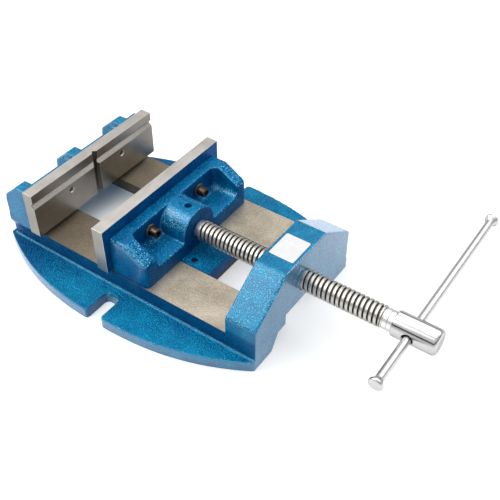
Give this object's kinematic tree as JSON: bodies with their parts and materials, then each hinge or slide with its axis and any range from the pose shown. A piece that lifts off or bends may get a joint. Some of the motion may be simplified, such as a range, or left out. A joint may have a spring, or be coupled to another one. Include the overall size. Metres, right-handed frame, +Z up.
{
  "type": "drill press vise",
  "caption": "Low drill press vise with a slotted base, a V-grooved fixed jaw, a sliding jaw on ground rails, a trapezoidal lead screw and a sliding T-bar handle.",
  "frame": {"origin": "on the underside of the base, on its centre line, in the solid rear foot below the fixed jaw", "axes": "+X along the lead screw from the fixed jaw to the handle, +Y across the jaws to the long side of the T-bar, +Z up"},
  "size_m": [0.3769, 0.2515, 0.0725],
  "materials": {
    "hammered_paint": "hammered metallic blue enamel on cast iron, semi-gloss",
    "ground_steel": "surface ground, satin",
    "thread_steel": "bright machined thread",
    "chrome_plate": "polished plating",
    "blackened_steel": "black oxide, slightly bronze",
    "dull_steel": "as sawn, dull",
    "white_vinyl": "blank white sticker"
  },
  "bodies": {
    "base": {"base_casting": "hammered_paint", "blank_label": "white_vinyl", "fixed_jaw_plate": "ground_steel", "fixed_jaw_screw_left": "blackened_steel", "fixed_jaw_screw_right": "blackened_steel", "fixed_jaw_washer_left": "blackened_steel", "fixed_jaw_washer_right": "blackened_steel"},
    "moving_jaw": {"moving_jaw_casting": "hammered_paint", "moving_jaw_plate": "ground_steel", "moving_jaw_screw_left": "blackened_steel", "moving_jaw_screw_right": "blackened_steel", "moving_jaw_washer_left": "blackened_steel", "moving_jaw_washer_right": "blackened_steel", "keeper_plate": "dull_steel", "keeper_screw_left": "blackened_steel", "keeper_screw_right": "blackened_steel", "spindle_keep_screw": "blackened_steel"},
    "spindle": {"lead_screw": "thread_steel", "spindle_head": "chrome_plate"},
    "handle": {"handle_bar": "chrome_plate", "handle_knob_left": "chrome_plate", "handle_knob_right": "chrome_plate"}
  },
  "joints": [
    {"name": "jaw_slide", "type": "slide", "parent": "base", "child": "moving_jaw", "axis": [1, 0, 0], "range_m": [-0.065, 0.047]},
    {"name": "spindle_turn", "type": "hinge", "parent": "moving_jaw", "child": "spindle", "pos_m": [0.3377, 0, 0.0417], "axis": [1, 0, 0], "range_deg": [-5851, 4231]},
    {"name": "handle_slide", "type": "slide", "parent": "spindle", "child": "handle", "axis": [0, 0.9997, 0.0262], "range_m": [-0.129, 0.0395]}
  ],
  "couplings": [
    {"joint": "spindle_turn", "follows": "jaw_slide", "rad_per_m": 1570.8}
  ]
}
